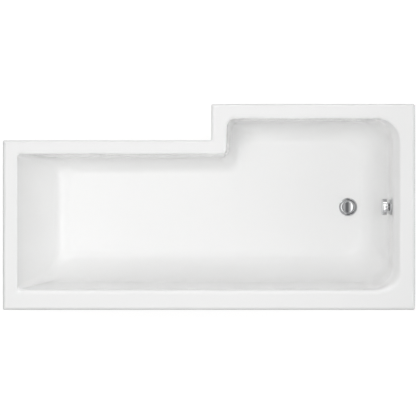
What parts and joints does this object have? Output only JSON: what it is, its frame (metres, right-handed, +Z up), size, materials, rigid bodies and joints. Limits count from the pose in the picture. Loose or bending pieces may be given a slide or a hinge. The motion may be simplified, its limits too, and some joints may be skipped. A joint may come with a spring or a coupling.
{
  "type": "l-shaped bath",
  "caption": "L-shaped acrylic shower bath with a reclined backrest, a pop-up waste worked by the overflow's knob, rim battens and a levelled cradle on adjustable feet.",
  "frame": {"origin": "on the room's floor under the middle of the rim's bounding box", "axes": "+X from the backrest to the waste end, +Y from the straight side on the wall to the step side, +Z up"},
  "size_m": [1.7, 0.85, 0.55],
  "materials": {
    "acrylic": "gloss",
    "fibreglass": "rough, with fibres",
    "chipboard": "raw board",
    "batten_wood": "sawn",
    "galvanised_steel": "galvanised",
    "zinc_steel": "zinc plated",
    "foot_plastic": "matt",
    "yellow_screw": "yellow zinc plated",
    "chrome": "polished",
    "bright_steel": "drawn",
    "dark_steel": "black oxide",
    "rubber": "matt",
    "white_plastic": "satin",
    "inner_plastic": "satin",
    "cable_plastic": "satin"
  },
  "bodies": {
    "tub": {"acrylic_shell": "acrylic", "glass_fibre_layer": "fibreglass", "base_board": "chipboard", "batten_back": "batten_wood", "batten_front": "batten_wood", "batten_screen": "batten_wood", "batten_head": "batten_wood", "batten_waste": "batten_wood", "batten_step": "batten_wood", "cradle_bar_head": "galvanised_steel", "cradle_bar_middle": "galvanised_steel", "cradle_bar_waste": "galvanised_steel", "bar_screws": "yellow_screw", "bar_nuts_upper": "zinc_steel", "bar_nuts_lower": "zinc_steel", "wall_bracket_left": "galvanised_steel", "wall_bracket_right": "galvanised_steel", "bracket_screws": "yellow_screw", "waste_flange": "chrome", "waste_top_seal": "rubber", "waste_bottom_seal": "rubber", "waste_body": "white_plastic", "lever_pin": "bright_steel", "cable_sheath": "cable_plastic", "overflow_body": "white_plastic", "overflow_seal": "rubber", "overflow_plate": "chrome", "overflow_pipe": "white_plastic", "pipe_nut_top": "white_plastic", "pipe_nut_bottom": "white_plastic"},
    "leg_1": {"leg_stud_1": "zinc_steel", "leg_foot_1": "foot_plastic", "foot_nut_1": "zinc_steel"},
    "leg_2": {"leg_stud_2": "zinc_steel", "leg_foot_2": "foot_plastic", "foot_nut_2": "zinc_steel"},
    "leg_3": {"leg_stud_3": "zinc_steel", "leg_foot_3": "foot_plastic", "foot_nut_3": "zinc_steel"},
    "leg_4": {"leg_stud_4": "zinc_steel", "leg_foot_4": "foot_plastic", "foot_nut_4": "zinc_steel"},
    "leg_5": {"leg_stud_5": "zinc_steel", "leg_foot_5": "foot_plastic", "foot_nut_5": "zinc_steel"},
    "leg_6": {"leg_stud_6": "zinc_steel", "leg_foot_6": "foot_plastic", "foot_nut_6": "zinc_steel"},
    "knob": {"overflow_knob": "chrome", "knob_spindle": "bright_steel", "grub_screw": "dark_steel", "cable_drum": "inner_plastic"},
    "cable_top": {"cable_core_top": "bright_steel"},
    "cable_end": {"cable_core_end": "bright_steel"},
    "lever": {"lift_lever": "inner_plastic"},
    "lifter": {"lift_pin": "bright_steel"},
    "plug": {"waste_plug": "chrome", "plug_seal": "rubber"}
  },
  "joints": [
    {"name": "leg_1_screw", "type": "slide", "parent": "tub", "child": "leg_1", "axis": [0, 0, 1], "range_m": [-0.03, 0.02]},
    {"name": "leg_2_screw", "type": "slide", "parent": "tub", "child": "leg_2", "axis": [0, 0, 1], "range_m": [-0.03, 0.02]},
    {"name": "leg_3_screw", "type": "slide", "parent": "tub", "child": "leg_3", "axis": [0, 0, 1], "range_m": [-0.03, 0.02]},
    {"name": "leg_4_screw", "type": "slide", "parent": "tub", "child": "leg_4", "axis": [0, 0, 1], "range_m": [-0.03, 0.02]},
    {"name": "leg_5_screw", "type": "slide", "parent": "tub", "child": "leg_5", "axis": [0, 0, 1], "range_m": [-0.03, 0.02]},
    {"name": "leg_6_screw", "type": "slide", "parent": "tub", "child": "leg_6", "axis": [0, 0, 1], "range_m": [-0.03, 0.02]},
    {"name": "knob_turn", "type": "hinge", "parent": "tub", "child": "knob", "pos_m": [0.752, 0, 0.43], "axis": [-0.9925, 0, 0.1219], "range_deg": [0, 90]},
    {"name": "cable_top_pull", "type": "slide", "parent": "tub", "child": "cable_top", "axis": [-0.1219, 0, -0.9925], "range_m": [0, 0.0075]},
    {"name": "cable_end_push", "type": "slide", "parent": "tub", "child": "cable_end", "axis": [-1, 0, 0], "range_m": [0, 0.0075]},
    {"name": "lever_swing", "type": "hinge", "parent": "tub", "child": "lever", "pos_m": [0.592, 0, 0.109], "axis": [0, 1, 0], "range_deg": [0, 30]},
    {"name": "plug_lift", "type": "slide", "parent": "tub", "child": "lifter", "axis": [0, 0, 1], "range_m": [0, 0.0075]},
    {"name": "plug_pull", "type": "slide", "parent": "lifter", "child": "plug", "axis": [0, 0, 1], "range_m": [0, 0.08]}
  ],
  "couplings": [
    {"joint": "cable_top_pull", "follows": "knob_turn", "m_per_rad": 0.0047746},
    {"joint": "cable_end_push", "follows": "knob_turn", "m_per_rad": 0.0047746},
    {"joint": "lever_swing", "follows": "knob_turn", "ratio": 0.33333},
    {"joint": "plug_lift", "follows": "knob_turn", "m_per_rad": 0.0047746}
  ]
}
